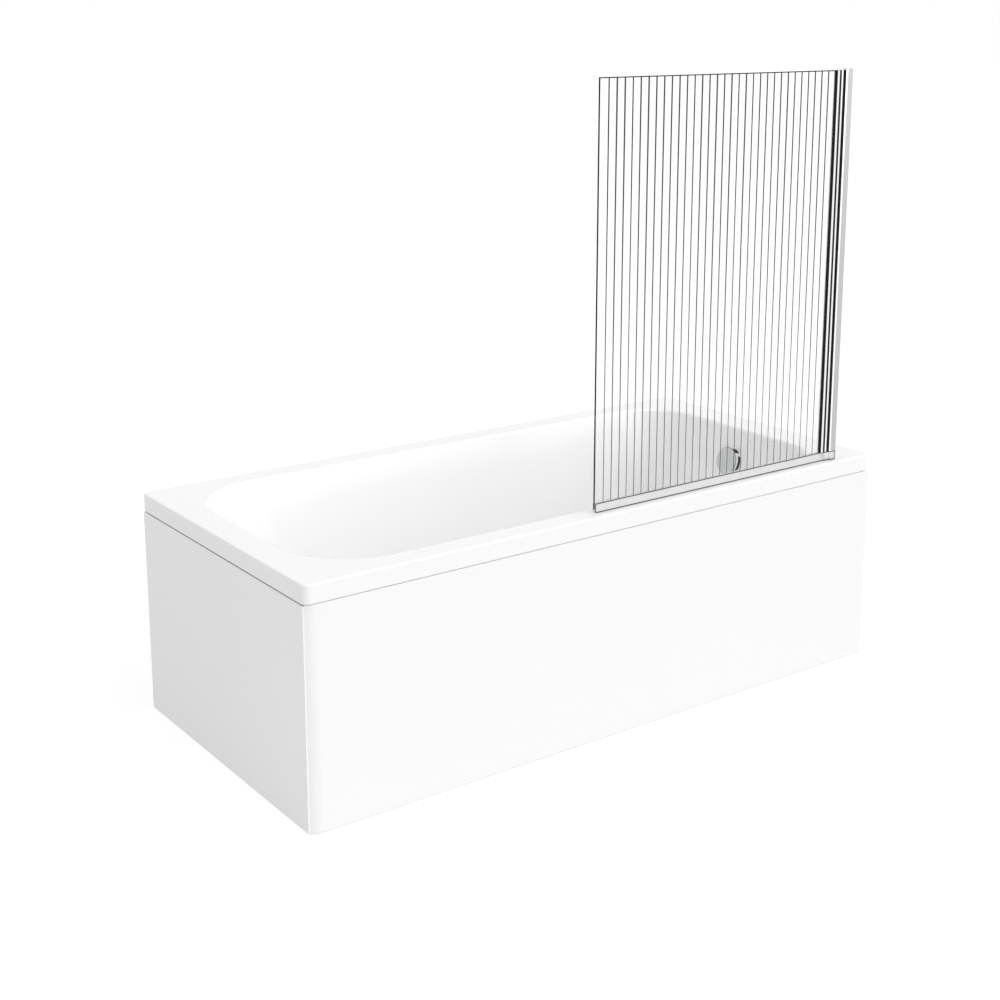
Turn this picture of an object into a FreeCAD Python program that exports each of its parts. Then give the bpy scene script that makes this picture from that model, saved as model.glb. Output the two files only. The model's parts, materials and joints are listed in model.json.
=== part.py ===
import FreeCAD, Part
import math
import os

# Straight bath with a front and an end panel, a pivoting fluted glass screen and a cradle leg set.
# Millimetres. The origin is on the floor under the middle of the bath: +X runs along the bath to the
# waste and screen end (the foot end), -Y is the open front and +Z is up.

V = FreeCAD.Vector
UP = V(0, 0, 1)

# Bath shell
bath_length = 1700.0
bath_width = 800.0
rim_height = 560.0
skirt_height = 44.0
shell_wall = 6.0
rim_corner_radius = 18.0
rim_edge_radius = 4.5
skirt_lower_radius = 2.0
rim_front_width = 64.0
rim_back_width = 64.0
rim_head_width = 74.0
rim_foot_width = 96.0
basin_depth = 355.0
head_slope_run = 230.0
foot_slope_run = 90.0
side_slope_run = 80.0
head_corner_radius = 190.0
foot_corner_radius = 140.0
head_floor_corner_radius = 130.0
foot_floor_corner_radius = 110.0
floor_fillet_radius = 60.0
lip_radius = 10.0

# Fits shared by the whole bath
screw_clearance = 0.15
fit_clearance = 0.1
running_clearance = 0.05
moving_clearance = 0.3

# Timber under the rim and the board under the basin floor
batten_width = 28.0
batten_height = 20.0
batten_end_gap = 45.0
board_thickness = 15.0
board_width = 300.0
board_overhang = 80.0

# Panels
panel_thickness = 4.0
panel_inset = 2.5
panel_shadow_gap = 2.0
end_panel_drop = 2.0
panel_corner_radius = 40.0
panel_corner_sweep = 40.0
panel_edge_radius = 3.0
panel_joint_gap = 0.6
panel_flange = 22.0
flange_corner_gap = 45.0
corner_post_leg = 35.0
corner_post_depth = 20.0
floor_batten_width = 25.0
floor_batten_height = 38.0
clip_thickness = 1.5
clip_width = 30.0
clip_reach = 14.0
clip_tab = 20.0
clip_screw_radius = 1.75
clip_screw_length = 13.0
clip_screw_head_radius = 3.5
clip_screw_head_height = 2.0
front_clip_count = 5
end_clip_count = 3
clip_end_gap = 90.0

# Leg set
cradle_left_setback = 198.0
cradle_waste_gap = 165.0
cradle_length = 520.0
cradle_thickness = 45.0
cradle_end_height = 78.0
cradle_end_rise = 8.0
cradle_end_block = 85.0
cradle_beam_depth = 32.0
cradle_seat_clearance = 6.0
cradle_seat_slope = 10.0
cradle_web = 6.0
cradle_flange = 5.0
cradle_rib = 4.0
cradle_end_radius = 8.0
cradle_post_bay = 45.0
cradle_boss_height = 20.0
cradle_window = 13.0
arch_rib_count = 3
ear_inset = 20.0
ear_reach = 8.0
ear_radius = 11.0
ear_thickness = 8.0
cradle_screw_radius = 2.2
cradle_screw_bite = 12.0
cradle_screw_head_radius = 4.5
cradle_screw_head_height = 3.0
post_radius = 14.0
post_inset = 24.0
post_spigot_radius = 9.0
post_spigot_height = 16.0
foot_share = 0.8
foot_octagon_share = 0.48
foot_octagon_flats = 46.0
foot_octagon_radius = 3.0
foot_sleeve_radius = 19.0
foot_floor_share = 0.16
post_foot_share = 0.18
pad_thickness = 4.0
pad_radius = 19.0
pad_stud_radius = 6.0
pad_stud_height = 5.0

# Waste
waste_setback = 110.0
waste_hole_radius = 22.5
washer_thickness = 1.5
washer_radius = 33.0
flange_radius = 35.0
flange_thickness = 3.0
flange_edge_radius = 1.5
waste_tube_radius = 20.5
waste_tube_bore = 19.0
waste_tube_length = 42.0
spider_drop = 22.0
spider_thickness = 8.0
spider_hole_radius = 4.0
spider_hole_circle = 13.5
spider_hole_count = 6
cartridge_radius = 8.0
cartridge_collar_radius = 9.0
cartridge_collar_height = 3.0
cartridge_length = 24.0
plug_travel = 8.0
plug_radius = 30.0
plug_thickness = 6.0
plug_edge_radius = 2.5
plug_stem_radius = 5.0
plug_stem_engagement = 22.0
plug_seal_radius = 25.0
plug_seal_thickness = 2.5
waste_gasket_thickness = 3.0
waste_body_radius = 28.0
waste_body_flange_radius = 36.0
waste_body_flange_thickness = 4.0
waste_body_depth = 76.0
waste_body_wall = 4.0
waste_thread_depth = 22.0
waste_tail_radius = 23.9
waste_tail_bore = 20.0
waste_tail_length = 25.0

# Overflow
overflow_drop = 92.0
overflow_hole_radius = 22.0
overflow_cover_radius = 37.5
overflow_cover_depth = 17.0
overflow_cover_face = 2.5
overflow_cover_wall = 2.0
overflow_cover_edge_radius = 2.0
overflow_slot_width = 36.0
overflow_slot_depth = 8.0
faceplate_thickness = 3.0
faceplate_hole_radius = 6.5
faceplate_hole_circle = 14.0
faceplate_hole_count = 5
overflow_screw_radius = 3.0
overflow_screw_length = 25.0
overflow_screw_head_radius = 5.5
overflow_screw_head_height = 3.0
overflow_gasket_thickness = 3.0
overflow_gasket_radius = 34.0
overflow_body_radius = 30.0
overflow_body_wall = 3.0
overflow_body_depth = 30.0
overflow_flange_thickness = 4.0
overflow_boss_radius = 6.0
spigot_radius = 13.9
spigot_bore = 11.5
spigot_length = 20.0
spigot_collar_radius = 18.0
spigot_collar_height = 4.0
pipe_wall = 2.0
pipe_bend_radius = 60.0
waste_inlet_drop = 31.0
waste_inlet_reach = 45.0

# Screen
screen_width = 800.0
screen_height = 1000.0
screen_front_setback = 30.0
wall_line_inset = 116.0
wall_profile_depth = 22.0
wall_profile_thickness = 22.0
wall_profile_wall = 2.5
wall_profile_bevel = 4.0
wall_profile_bevel_depth = 1.8
post_wall = 2.0
post_depth = 14.0
wall_hole_radius = 2.75
wall_hole_end_gap = 90.0
lock_screw_radius = 1.9
lock_screw_head_radius = 3.5
lock_screw_head_height = 2.0
lock_screw_length = 7.0
lock_screw_count = 3
seal_strip_width = 3.0
seal_strip_thickness = 14.0
knuckle_radius = 8.0
channel_thickness = 15.0
channel_length = 17.0
channel_groove_width = 7.0
channel_groove_depth = 1.2
glass_thickness = 6.0
glass_pocket = 10.5
flute_count = 32
flute_depth = 1.2
glass_edge_margin = 2.0
glazing_gasket_thickness = 2.2
glazing_gasket_nose = 4.0
bottom_seal_height = 24.0
bottom_seal_wall = 2.0
bottom_seal_gap = 0.6
bottom_seal_base = 7.4
bottom_seal_bulb_wall = 1.8
bottom_seal_corner_radius = 5.0
pivot_block_radius = 8.0
pivot_cap_thickness = 3.0
hinge_pin_radius = 3.0
hinge_pin_length = 22.0
hinge_pin_seat = 10.0
bush_wall = 1.2
bush_length = 25.0

# Lines worked out from the bath's sizes
end_x = bath_length / 2
front_y = -bath_width / 2
back_y = bath_width / 2
floor_z = rim_height - basin_depth
underside_z = floor_z - shell_wall
board_z = underside_z - board_thickness
skirt_z = rim_height - skirt_height
plate_z = rim_height - shell_wall
panel_top = skirt_z - panel_shadow_gap
end_panel_top = panel_top - end_panel_drop
head_top_x = -end_x + rim_head_width
foot_top_x = end_x - rim_foot_width
front_top_y = front_y + rim_front_width
back_top_y = back_y - rim_back_width
head_floor_x = head_top_x + head_slope_run
foot_floor_x = foot_top_x - foot_slope_run
waste_x = foot_floor_x - waste_setback
cradle_right_x = waste_x - cradle_waste_gap
cradle_left_x = head_floor_x + cradle_left_setback
cradle_places = {"left": cradle_left_x, "right": cradle_right_x}


def box(x0, x1, y0, y1, z0, z1):
    """A block between two corners."""
    return Part.makeBox(x1 - x0, y1 - y0, z1 - z0, V(x0, y0, z0))


def rod(radius, x, y, z0, z1):
    """An upright cylinder."""
    return Part.makeCylinder(radius, z1 - z0, V(x, y, z0), UP)


def ring(outer, inner, x, y, z0, z1):
    """An upright tube."""
    return rod(outer, x, y, z0, z1).cut(rod(inner, x, y, z0, z1))


def prism(points, direction):
    """A closed outline of points pushed along a direction."""
    wire = Part.makePolygon(points + points[:1])
    return Part.Face(wire).extrude(direction)


def arc(start, middle, end):
    """A circular edge through three points."""
    return Part.Arc(start, middle, end).toShape()


def rounded_outline(x0, x1, y0, y1, low_radius, high_radius, z):
    """A rectangle with round corners: low_radius at the x0 end and high_radius at the x1 end."""
    corners = [
        (x0 + low_radius, y0 + low_radius, low_radius, 180),
        (x1 - high_radius, y0 + high_radius, high_radius, 270),
        (x1 - high_radius, y1 - high_radius, high_radius, 0),
        (x0 + low_radius, y1 - low_radius, low_radius, 90),
    ]
    arcs = []
    for cx, cy, radius, start in corners:
        spots = []
        for turn in (0, 45, 90):
            angle = math.radians(start + turn)
            spots.append(V(cx + radius * math.cos(angle), cy + radius * math.sin(angle), z))
        arcs.append(spots)
    edges = []
    for index, spots in enumerate(arcs):
        edges.append(arc(*spots))
        edges.append(Part.makeLine(spots[2], arcs[(index + 1) % 4][0]))
    return Part.Wire(edges)


def rounded_block(x0, x1, y0, y1, radius, z0, z1):
    """A block with round upright corners."""
    wire = rounded_outline(x0, x1, y0, y1, radius, radius, z0)
    return Part.Face(wire).extrude(V(0, 0, z1 - z0))


def edges_at(shape, z):
    """The edges that lie flat at height z."""
    return [e for e in shape.Edges if abs(e.BoundBox.ZMin - z) < 1e-4 and abs(e.BoundBox.ZMax - z) < 1e-4]


def upright_copies(shape, places):
    """Copies of a shape moved to each place in turn."""
    copies = []
    for place in places:
        copy = shape.copy()
        copy.translate(place)
        copies.append(copy)
    return copies


def spread(low, high, count):
    """Evenly spaced places from low to high."""
    step = (high - low) / (count - 1)
    return [low + step * index for index in range(count)]


def save(name, shape):
    """Writes one piece, or one group of like pieces, to its own file."""
    shape.exportStep("parts/" + name + ".step")


# Bath shell

def basin_outline(drop, grow):
    """The basin's outline at a drop below the rim, grown outwards by a wall measured square to it."""
    share = drop / basin_depth

    def side(top, run, sign):
        lean = math.hypot(run, basin_depth) / basin_depth
        return top + sign * (run * share - grow * lean)

    head_radius = head_corner_radius + (head_floor_corner_radius - head_corner_radius) * share + grow
    foot_radius = foot_corner_radius + (foot_floor_corner_radius - foot_corner_radius) * share + grow
    return rounded_outline(
        side(head_top_x, head_slope_run, 1), side(foot_top_x, foot_slope_run, -1),
        side(front_top_y, side_slope_run, 1), side(back_top_y, side_slope_run, -1),
        head_radius, foot_radius, rim_height - drop)


def basin_solid(top_drop, grow):
    """The basin as a solid with sloping sides and a round edge to its floor."""
    bottom_drop = basin_depth + grow
    body = Part.makeLoft([basin_outline(bottom_drop, grow), basin_outline(top_drop, grow)], True, True)
    return body.makeFillet(floor_fillet_radius + grow, edges_at(body, rim_height - bottom_drop))


overflow_lean = math.atan2(foot_slope_run, basin_depth)
overflow_normal = V(-math.cos(overflow_lean), 0, math.sin(overflow_lean))
overflow_point = V(foot_top_x - foot_slope_run * overflow_drop / basin_depth, 0, rim_height - overflow_drop)
overflow_place = FreeCAD.Placement(overflow_point, FreeCAD.Rotation(UP, overflow_normal))


def on_overflow(shape):
    """Moves a piece built upright at the origin onto the foot wall, its +Z out into the basin."""
    shape.Placement = overflow_place.multiply(shape.Placement)
    return shape


def make_bath_shell():
    rim = rounded_block(-end_x, end_x, front_y, back_y, rim_corner_radius, skirt_z, rim_height)
    rim = rim.makeFillet(rim_edge_radius, edges_at(rim, rim_height))
    rim = rim.makeFillet(skirt_lower_radius, edges_at(rim, skirt_z))
    hollow = rounded_block(
        -end_x + shell_wall, end_x - shell_wall, front_y + shell_wall, back_y - shell_wall,
        rim_corner_radius - shell_wall, skirt_z - shell_wall, plate_z)
    outer = basin_solid(shell_wall / 2, shell_wall)
    cavity = basin_solid(-shell_wall, 0)
    shell = rim.cut(hollow).fuse(outer).cut(cavity)
    shell = shell.removeSplitter()
    tops = [f for f in shell.Faces if abs(f.BoundBox.ZMin - rim_height) < 1e-4 and len(f.Wires) > 1]
    inner = [w for w in tops[0].Wires if not w.isSame(tops[0].OuterWire)]
    shell = shell.makeFillet(lip_radius, inner[0].Edges)
    shell = shell.cut(rod(waste_hole_radius, waste_x, 0, underside_z - shell_wall, floor_z + shell_wall))
    shell = shell.cut(on_overflow(rod(overflow_hole_radius, 0, 0, -2 * shell_wall, shell_wall)))
    return shell.Solids[0]


nodes = {}
nodes["bath_shell"] = make_bath_shell()

# Board under the floor, with the pilot holes for the cradle screws

screw_offset_x = cradle_thickness / 2 + ear_reach
ear_offset = board_width / 2 - ear_inset
cradle_screw_places = []
for cradle_x in cradle_places.values():
    for side_x in (-screw_offset_x, screw_offset_x):
        for side_y in (-ear_offset, ear_offset):
            cradle_screw_places.append(V(cradle_x + side_x, side_y, 0))

base_board = box(
    cradle_left_x - board_overhang, cradle_right_x + board_overhang,
    -board_width / 2, board_width / 2, board_z, underside_z)
pilot_top_z = board_z + cradle_screw_bite + screw_clearance
pilot = rod(cradle_screw_radius + screw_clearance, 0, 0, board_z, pilot_top_z)
for hole in upright_copies(pilot, cradle_screw_places):
    base_board = base_board.cut(hole)
nodes["base_board"] = base_board

# Battens under the rim

batten_z = plate_z - batten_height
inner_end_x = end_x - shell_wall
inner_front_y = front_y + shell_wall
inner_back_y = back_y - shell_wall
batten_end_x = inner_end_x - batten_end_gap
batten_end_front = inner_front_y + batten_end_gap
batten_end_back = inner_back_y - batten_end_gap
rim_batten_front = box(
    -batten_end_x, batten_end_x, inner_front_y, inner_front_y + batten_width, batten_z, plate_z)
rim_batten_back = box(
    -batten_end_x, batten_end_x, inner_back_y - batten_width, inner_back_y, batten_z, plate_z)
rim_batten_left = box(
    -inner_end_x, -inner_end_x + batten_width, batten_end_front, batten_end_back, batten_z, plate_z)
rim_batten_right = box(
    inner_end_x - batten_width, inner_end_x, batten_end_front, batten_end_back, batten_z, plate_z)

# Panels

panel_front_y = front_y + panel_inset
panel_head_x = -end_x + panel_inset
panel_foot_x = end_x - panel_inset
panel_back_y = back_y - panel_inset
panel_inner_y = panel_front_y + panel_thickness
panel_inner_x = panel_head_x + panel_thickness
return_x = panel_inner_x + fit_clearance
return_inner_x = return_x + panel_thickness
corner_turn = math.radians(panel_corner_sweep)
corner_centre_x = return_x + panel_corner_radius * math.sin(corner_turn)
corner_centre_y = panel_front_y + panel_corner_radius
corner_edge_y = corner_centre_y - panel_corner_radius * math.cos(corner_turn)
inner_corner_radius = panel_corner_radius - panel_thickness
inner_turn = math.asin((corner_centre_x - return_inner_x) / inner_corner_radius)
inner_edge_y = corner_centre_y - inner_corner_radius * math.cos(inner_turn)
return_end_y = corner_edge_y + corner_post_leg
flange_end_y = panel_inner_y + panel_flange
flange_end_x = panel_inner_x + panel_flange


def corner_spot(radius, turn):
    """A place on the panel's rounded upright corner: its radius, and its turn away from the front."""
    return V(corner_centre_x - radius * math.sin(turn), corner_centre_y - radius * math.cos(turn), 0)


def make_front_panel():
    """The long panel: its rounded corner ends in a return that the end panel laps over."""
    outer_middle = corner_spot(panel_corner_radius, corner_turn / 2)
    inner_middle = corner_spot(inner_corner_radius, inner_turn / 2)
    outer_arc = arc(V(corner_centre_x, panel_front_y, 0), outer_middle, V(return_x, corner_edge_y, 0))
    inner_arc = arc(V(return_inner_x, inner_edge_y, 0), inner_middle, V(corner_centre_x, panel_inner_y, 0))
    outline = Part.Wire([
        Part.makeLine(V(panel_foot_x, panel_front_y, 0), V(corner_centre_x, panel_front_y, 0)),
        outer_arc,
        Part.makeLine(V(return_x, corner_edge_y, 0), V(return_x, return_end_y, 0)),
        Part.makeLine(V(return_x, return_end_y, 0), V(return_inner_x, return_end_y, 0)),
        Part.makeLine(V(return_inner_x, return_end_y, 0), V(return_inner_x, inner_edge_y, 0)),
        inner_arc,
        Part.makeLine(V(corner_centre_x, panel_inner_y, 0), V(panel_foot_x, panel_inner_y, 0)),
        Part.makeLine(V(panel_foot_x, panel_inner_y, 0), V(panel_foot_x, panel_front_y, 0)),
    ])
    skin = Part.Face(outline).extrude(V(0, 0, panel_top))
    outer_edges = []
    for height in (0, panel_top):
        for edge in edges_at(skin, height):
            middle = edge.valueAt((edge.FirstParameter + edge.LastParameter) / 2)
            on_front = abs(middle.y - panel_front_y) < 1e-4
            on_corner = (middle - V(0, 0, height) - outer_middle).Length < 1e-3
            if on_front or on_corner:
                outer_edges.append(edge)
    skin = skin.makeFillet(panel_edge_radius, outer_edges)
    flange_x = corner_centre_x + flange_corner_gap
    for low in (0, panel_top - panel_thickness):
        skin = skin.fuse(box(flange_x, panel_foot_x, panel_inner_y, flange_end_y, low, low + panel_thickness))
    end_return = box(panel_foot_x - panel_thickness, panel_foot_x, panel_inner_y, flange_end_y, 0, panel_top)
    return skin.fuse(end_return).removeSplitter().Solids[0]


def make_end_panel():
    skin = box(panel_head_x, panel_inner_x, corner_edge_y, panel_back_y, 0, end_panel_top)
    outer_edges = []
    for height in (0, end_panel_top):
        for edge in edges_at(skin, height):
            if abs(edge.BoundBox.XMax - panel_head_x) < 1e-4:
                outer_edges.append(edge)
    skin = skin.makeFillet(panel_edge_radius, outer_edges)
    flange_y = corner_edge_y + flange_corner_gap
    for low in (0, end_panel_top - panel_thickness):
        skin = skin.fuse(box(panel_inner_x, flange_end_x, flange_y, panel_back_y, low, low + panel_thickness))
    return skin.removeSplitter().Solids[0]


nodes["front_panel"] = make_front_panel()
nodes["end_panel"] = make_end_panel()

nodes["corner_post"] = prism([
    V(return_inner_x, inner_edge_y + panel_joint_gap, 0),
    V(return_inner_x, return_end_y, 0),
    V(return_inner_x + corner_post_depth, return_end_y, 0),
    V(corner_centre_x + corner_post_leg, panel_inner_y + corner_post_depth, 0),
    V(corner_centre_x + corner_post_leg, panel_inner_y, 0),
    V(corner_centre_x + panel_joint_gap, panel_inner_y, 0),
], V(0, 0, panel_top - panel_thickness))

floor_batten_front = box(
    corner_centre_x + flange_corner_gap, panel_foot_x - panel_thickness,
    flange_end_y, flange_end_y + floor_batten_width, 0, floor_batten_height)
floor_batten_end = box(
    flange_end_x, flange_end_x + floor_batten_width,
    flange_end_y + floor_batten_width, panel_back_y, 0, floor_batten_height)
nodes["floor_batten_front"] = floor_batten_front
nodes["floor_batten_end"] = floor_batten_end

# Panel clips: each hangs from a rim batten and hooks under the panel's top flange


def clip_profile(across, flange_z):
    """One clip's outline: across(u, z) places a point, u measured inwards from the flange's edge."""
    hook_z = flange_z - clip_thickness
    return [
        across(-clip_tab, batten_z), across(clip_thickness, batten_z),
        across(clip_thickness, hook_z), across(-clip_reach, hook_z),
        across(-clip_reach, flange_z), across(0, flange_z),
        across(0, batten_z - clip_thickness), across(-clip_tab, batten_z - clip_thickness),
    ]


front_clip_places = spread(-batten_end_x + clip_end_gap, batten_end_x - clip_end_gap, front_clip_count)
end_clip_places = spread(batten_end_front + clip_end_gap, batten_end_back - clip_end_gap, end_clip_count)
clip_screw_inset = -clip_tab / 2
clip_under_z = batten_z - clip_thickness
clip_screw = rod(clip_screw_radius, 0, 0, clip_under_z, clip_under_z + clip_screw_length)
clip_screw = clip_screw.fuse(rod(
    clip_screw_head_radius, 0, 0, clip_under_z - clip_screw_head_height, clip_under_z))
clip_hole = rod(clip_screw_radius + screw_clearance, 0, 0, clip_under_z, batten_z + clip_screw_length)
clips = []
clip_screws = []
for clip_x in front_clip_places:
    outline = clip_profile(
        lambda u, z: V(clip_x - clip_width / 2, flange_end_y + u, z), panel_top - panel_thickness)
    clip_place = V(clip_x, flange_end_y + clip_screw_inset, 0)
    hole = upright_copies(clip_hole, [clip_place])[0]
    clips.append(prism(outline, V(clip_width, 0, 0)).cut(hole))
    rim_batten_front = rim_batten_front.cut(hole)
    clip_screws += upright_copies(clip_screw, [clip_place])
for clip_y in end_clip_places:
    outline = clip_profile(
        lambda u, z: V(flange_end_x + u, clip_y - clip_width / 2, z), end_panel_top - panel_thickness)
    clip_place = V(flange_end_x + clip_screw_inset, clip_y, 0)
    hole = upright_copies(clip_hole, [clip_place])[0]
    clips.append(prism(outline, V(0, clip_width, 0)).cut(hole))
    rim_batten_left = rim_batten_left.cut(hole)
    clip_screws += upright_copies(clip_screw, [clip_place])
nodes["panel_clips"] = Part.makeCompound(clips)
nodes["clip_screws"] = Part.makeCompound(clip_screws)
nodes["rim_batten_front"] = rim_batten_front
nodes["rim_batten_back"] = rim_batten_back
nodes["rim_batten_left"] = rim_batten_left
nodes["rim_batten_right"] = rim_batten_right

# Leg set

cradle_half = cradle_length / 2
cradle_end_z = board_z + cradle_end_rise
cradle_low_z = cradle_end_z - cradle_end_height
arch_half = cradle_half - cradle_end_block
arch_top_z = board_z - cradle_beam_depth
seat_half = board_width / 2 + cradle_seat_clearance
post_y = cradle_half - post_inset


def make_cradle():
    """One moulded cradle at the origin: a ribbed beam with an arch under it and a seat for the board."""
    face_x = -cradle_thickness / 2
    shoulder = seat_half + cradle_seat_slope
    low_left = V(face_x, -arch_half, cradle_low_z)
    low_right = V(face_x, arch_half, cradle_low_z)
    corners = [
        low_right, V(face_x, cradle_half, cradle_low_z), V(face_x, cradle_half, cradle_end_z),
        V(face_x, shoulder, cradle_end_z), V(face_x, seat_half, board_z),
        V(face_x, -seat_half, board_z), V(face_x, -shoulder, cradle_end_z),
        V(face_x, -cradle_half, cradle_end_z), V(face_x, -cradle_half, cradle_low_z), low_left,
    ]
    edges = [arc(low_left, V(face_x, 0, arch_top_z), low_right)]
    for start, end in zip(corners, corners[1:]):
        edges.append(Part.makeLine(start, end))
    outline = Part.Face(Part.Wire(Part.__sortEdges__(edges)))
    beam = outline.extrude(V(cradle_thickness, 0, 0))
    end_edges = []
    for edge in beam.Edges:
        bounds = edge.BoundBox
        if abs(bounds.YMax - bounds.YMin) < 1e-4 and abs(abs(bounds.YMax) - cradle_half) < 1e-4:
            if abs(bounds.ZMax - bounds.ZMin) < 1e-4:
                end_edges.append(edge)
    beam = beam.makeFillet(cradle_end_radius, end_edges)
    inset = outline.makeOffset2D(-cradle_flange)
    pocket_depth = (cradle_thickness - cradle_web) / 2
    pocket = inset.extrude(V(pocket_depth, 0, 0))
    bay_y = cradle_half - cradle_post_bay
    rib_places = [bay_y] + spread(0, arch_half, arch_rib_count + 1)
    for rib_y in rib_places:
        for side in (-1, 1):
            centre = rib_y * side
            pocket = pocket.cut(box(
                face_x, -face_x, centre - cradle_rib / 2, centre + cradle_rib / 2,
                cradle_low_z, cradle_end_z))
    for side in (-1, 1):
        ends = sorted((side * (bay_y - cradle_rib / 2), side * cradle_half))
        pocket = pocket.cut(box(
            face_x, -face_x, ends[0], ends[1], cradle_low_z, cradle_low_z + cradle_boss_height))
    beam = beam.cut(pocket)
    pocket.translate(V(cradle_thickness - pocket_depth, 0, 0))
    beam = beam.cut(pocket)
    window_y = (bay_y + arch_half) / 2
    window_z = cradle_low_z + cradle_boss_height
    for side in (-1, 1):
        beam = beam.cut(box(
            face_x, -face_x, side * window_y - cradle_window / 2, side * window_y + cradle_window / 2,
            window_z, window_z + cradle_window))
        ear = box(
            -screw_offset_x, screw_offset_x, side * ear_offset - ear_radius, side * ear_offset + ear_radius,
            board_z - ear_thickness, board_z)
        for screw_x in (-screw_offset_x, screw_offset_x):
            ear = ear.fuse(rod(ear_radius, screw_x, side * ear_offset, board_z - ear_thickness, board_z))
        beam = beam.fuse(ear)
        for screw_x in (-screw_offset_x, screw_offset_x):
            beam = beam.cut(rod(
                cradle_screw_radius + screw_clearance, screw_x, side * ear_offset,
                board_z - ear_thickness, board_z))
        beam = beam.cut(rod(
            post_spigot_radius + fit_clearance, 0, side * post_y,
            cradle_low_z, cradle_low_z + post_spigot_height + fit_clearance))
    return beam.removeSplitter().Solids[0]


cradle = make_cradle()
for place_name, cradle_x in cradle_places.items():
    nodes["cradle_" + place_name] = upright_copies(cradle, [V(cradle_x, 0, 0)])[0]

screw_head_z = board_z - ear_thickness
cradle_screw = rod(cradle_screw_radius, 0, 0, screw_head_z, board_z + cradle_screw_bite)
cradle_screw = cradle_screw.fuse(rod(
    cradle_screw_head_radius, 0, 0, screw_head_z - cradle_screw_head_height, screw_head_z))
nodes["cradle_screws"] = Part.makeCompound(upright_copies(cradle_screw, cradle_screw_places))

foot_low_z = pad_thickness
foot_height = foot_share * (cradle_low_z - foot_low_z)
foot_top_z = foot_low_z + foot_height
octagon_top_z = foot_low_z + foot_octagon_share * foot_height
foot_bore_z = foot_low_z + foot_floor_share * foot_height
post_low_z = foot_bore_z + post_foot_share * foot_height
leg_post = rod(post_radius, 0, 0, post_low_z, cradle_low_z)
leg_post = leg_post.fuse(rod(post_spigot_radius, 0, 0, cradle_low_z, cradle_low_z + post_spigot_height))


def make_foot():
    """One foot at the origin: an octagonal base and a round sleeve with the bore for the post."""
    corner_radius = foot_octagon_flats / 2 / math.cos(math.pi / 8)
    corners = []
    for index in range(8):
        angle = math.pi / 8 + index * math.pi / 4
        corners.append(V(corner_radius * math.cos(angle), corner_radius * math.sin(angle), foot_low_z))
    base = prism(corners, V(0, 0, octagon_top_z - foot_low_z))
    base = base.makeChamfer(foot_octagon_radius, edges_at(base, foot_low_z) + edges_at(base, octagon_top_z))
    body = base.fuse(rod(foot_sleeve_radius, 0, 0, octagon_top_z, foot_top_z))
    body = body.cut(rod(post_radius + moving_clearance, 0, 0, foot_bore_z, foot_top_z))
    stud_top = foot_low_z + pad_stud_height + moving_clearance
    body = body.cut(rod(pad_stud_radius + moving_clearance, 0, 0, foot_low_z, stud_top))
    return body.Solids[0]


foot = make_foot()
pad = rod(pad_radius, 0, 0, 0, pad_thickness)
pad = pad.fuse(rod(pad_stud_radius, 0, 0, pad_thickness, pad_thickness + pad_stud_height))
leg_posts = []
for place_name, cradle_x in cradle_places.items():
    for side_name, side in (("front", -1), ("back", 1)):
        place = [V(cradle_x, side * post_y, 0)]
        leg_posts += upright_copies(leg_post, place)
        nodes["foot_" + place_name + "_" + side_name] = upright_copies(foot, place)[0]
        nodes["foot_pad_" + place_name + "_" + side_name] = upright_copies(pad, place)[0]
nodes["leg_posts"] = Part.makeCompound(leg_posts)

# Waste

washer_top_z = floor_z + washer_thickness
flange_top_z = washer_top_z + flange_thickness
spider_top_z = flange_top_z - spider_drop
spider_low_z = spider_top_z - spider_thickness
tube_low_z = flange_top_z - waste_tube_length
waste_gasket_z = underside_z - waste_gasket_thickness
body_low_z = underside_z - waste_body_depth
inlet_z = underside_z - waste_inlet_drop - waste_gasket_thickness
inlet_end_x = waste_x + waste_body_radius + waste_inlet_reach


def lying_rod(radius, x0, x1, z):
    """A cylinder along X at the middle of the bath."""
    return Part.makeCylinder(radius, x1 - x0, V(x0, 0, z), V(1, 0, 0))


def make_waste_flange():
    disc = rod(flange_radius, waste_x, 0, washer_top_z, flange_top_z)
    disc = disc.makeFillet(flange_edge_radius, edges_at(disc, flange_top_z))
    body = disc.fuse(rod(waste_tube_radius, waste_x, 0, tube_low_z, washer_top_z))
    body = body.cut(rod(waste_tube_bore, waste_x, 0, tube_low_z, spider_low_z))
    body = body.cut(rod(waste_tube_bore, waste_x, 0, spider_top_z, flange_top_z))
    body = body.cut(rod(cartridge_radius + fit_clearance, waste_x, 0, spider_low_z, spider_top_z))
    for index in range(spider_hole_count):
        angle = 2 * math.pi * index / spider_hole_count
        hole_x = waste_x + spider_hole_circle * math.cos(angle)
        hole_y = spider_hole_circle * math.sin(angle)
        body = body.cut(rod(spider_hole_radius, hole_x, hole_y, spider_low_z, spider_top_z))
    return body.Solids[0]


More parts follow.
